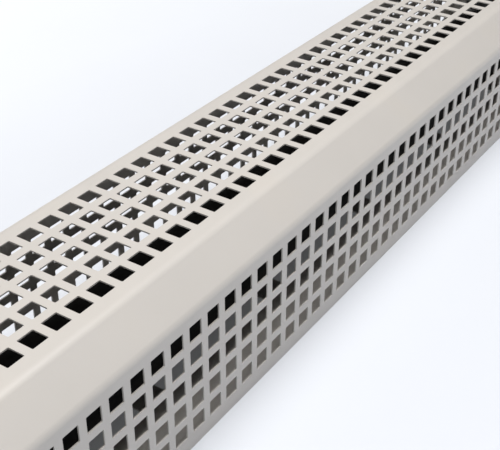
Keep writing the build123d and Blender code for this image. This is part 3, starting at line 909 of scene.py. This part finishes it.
class HEATER_OT_supply(bpy.types.Operator):
    """Finish the terminal block and the earth stud"""

    bl_idname = "heater.supply"
    bl_label = "Terminals"

    def execute(self, context):
        refine(["terminal_block"], rounding=0.25 * MM)
        refine(["terminal_inserts", "terminal_screws", "weld_studs"], rounding=0.1 * MM)
        refine(["block_nut", "earth_washer", "earth_nut"], rounding=0.1 * MM)
        return {"FINISHED"}


class HEATER_OT_gland(bpy.types.Operator):
    """Finish the cable gland's four pieces"""

    bl_idname = "heater.gland"
    bl_label = "Cable Gland"

    def execute(self, context):
        refine(["gland_body", "gland_locknut", "gland_dome_nut"], rounding=0.3 * MM)
        refine(["gland_seal"], rounding=0.2 * MM)
        return {"FINISHED"}


class HEATER_OT_thermostat(bpy.types.Operator):
    """Finish the thermostat, its nut, its spindle, its bulb and the bulb's clips"""

    bl_idname = "heater.thermostat"
    bl_label = "Thermostat"

    def execute(self, context):
        refine(["thermostat_body"], rounding=0.4 * MM)
        refine(["thermostat_tabs", "thermostat_nut", "thermostat_spindle", "bulb_clips"], rounding=0.12 * MM)
        refine(["sensing_bulb"], rounding=0.1 * MM)
        return {"FINISHED"}


class HEATER_OT_knob(bpy.types.Operator):
    """Finish the thermostat knob, paint its pointer, and print the marks round it"""

    bl_idname = "heater.knob"
    bl_label = "Knob and Dial"

    def execute(self, context):
        knob = refine(["thermostat_knob"], rounding=0.3 * MM)[0]
        knob.data.materials.append(pointer_paint())
        pointer = KNOB_FRONT - 0.25 * MM     # only the pointer's top stands further out than this
        for face in knob.data.polygons:
            if face.center.x > pointer and face.normal.x > 0.5:
                face.material_index = 1
        dial = make_dial_marks()
        finish_piece(dial, "casing", [], dial_ink())
        return {"FINISHED"}


class HEATER_OT_cutout(bpy.types.Operator):
    """Finish the over-heat cut-out on the right strap"""

    bl_idname = "heater.cutout"
    bl_label = "Cut-out"

    def execute(self, context):
        refine(["overheat_cutout"], rounding=0.25 * MM)
        refine(["cutout_tabs"], rounding=0.1 * MM)
        return {"FINISHED"}


class HEATER_OT_wires(bpy.types.Operator):
    """Smooth the wires between the terminals, the controls and the element"""

    bl_idname = "heater.wires"
    bl_label = "Wires"

    def execute(self, context):
        refine(["live_wires", "neutral_wire", "earth_wire"], rounding=0.08 * MM)
        return {"FINISHED"}


class HEATER_OT_fasteners(bpy.types.Operator):
    """Finish the screws that hold the hood and the end caps"""

    bl_idname = "heater.fasteners"
    bl_label = "Casing Screws"

    def execute(self, context):
        refine(["cover_screws", "end_cap_screws"], rounding=0.12 * MM)
        return {"FINISHED"}


class HEATER_OT_stage(bpy.types.Operator):
    """Set up the floor, the light, the room and the camera"""

    bl_idname = "heater.stage"
    bl_label = "Studio"

    def execute(self, context):
        clear_selection()
        stage = studio()
        bpy.ops.mesh.primitive_plane_add(size=stage.floor_side, location=(0, 0, 0))
        floor = bpy.context.object
        floor.name = "studio_floor"
        floor.data.materials.append(studio_floor())

        bpy.ops.object.light_add(type="AREA", location=stage.overhead_place)
        lamp = bpy.context.object
        lamp.name = "overhead"
        lamp.data.shape = "RECTANGLE"
        lamp.data.size, lamp.data.size_y = stage.overhead_size
        lamp.data.energy = stage.overhead_power
        lamp.data.color = colours().overhead
        towards = Vector(stage.overhead_aim) - Vector(stage.overhead_place)
        lamp.rotation_euler = towards.to_track_quat("-Z", "Y").to_euler()

        world = bpy.data.worlds.new("pale_room")
        world.use_nodes = True
        background = world.node_tree.nodes["Background"]
        background.inputs["Color"].default_value = (*colours().room, 1)
        background.inputs["Strength"].default_value = stage.room_light
        context.scene.world = world
        context.scene.view_settings.view_transform = "Standard"

        bpy.ops.object.camera_add(location=stage.camera_place, rotation=stage.camera_turn)
        camera = bpy.context.object
        camera.data.lens = stage.camera_lens
        camera.data.sensor_width = 36
        camera.data.shift_x, camera.data.shift_y = stage.camera_shift
        camera.data.clip_start = 10 * MM
        context.scene.camera = camera
        return {"FINISHED"}


# ---- The add-on ----------------------------------------------------------------------------

pieces = (
    HEATER_OT_hood,
    HEATER_OT_end_caps,
    HEATER_OT_base_tray,
    HEATER_OT_tube,
    HEATER_OT_element,
    HEATER_OT_supports,
    HEATER_OT_supply,
    HEATER_OT_gland,
    HEATER_OT_thermostat,
    HEATER_OT_knob,
    HEATER_OT_cutout,
    HEATER_OT_wires,
    HEATER_OT_fasteners,
    HEATER_OT_stage,
)


class HEATER_PT_panel(bpy.types.Panel):
    """The heater's pieces, sizes and colours"""

    bl_idname = "HEATER_PT_panel"
    bl_label = "Baseboard Heater"
    bl_space_type = "VIEW_3D"
    bl_region_type = "UI"
    bl_category = "Heater"

    def draw(self, context):
        for group in (context.scene.heater_sizes, context.scene.heater_colours, context.scene.heater_studio):
            column = self.layout.column(align=True)
            for name in group.__annotations__:
                column.prop(group, name)
        for piece in pieces:
            self.layout.operator(piece.bl_idname)


groups = (HeaterSizes, HeaterColours, HeaterStudio)


def register():
    for item in (*groups, *pieces, HEATER_PT_panel):
        bpy.utils.register_class(item)
    bpy.types.Scene.heater_sizes = PointerProperty(type=HeaterSizes)
    bpy.types.Scene.heater_colours = PointerProperty(type=HeaterColours)
    bpy.types.Scene.heater_studio = PointerProperty(type=HeaterStudio)


def unregister():
    del bpy.types.Scene.heater_sizes
    del bpy.types.Scene.heater_colours
    del bpy.types.Scene.heater_studio
    for item in reversed((*groups, *pieces, HEATER_PT_panel)):
        bpy.utils.unregister_class(item)


def main():
    register()
    for piece in pieces:
        family, name = piece.bl_idname.split(".")
        getattr(getattr(bpy.ops, family), name)()


if __name__ == "__main__":
    main()
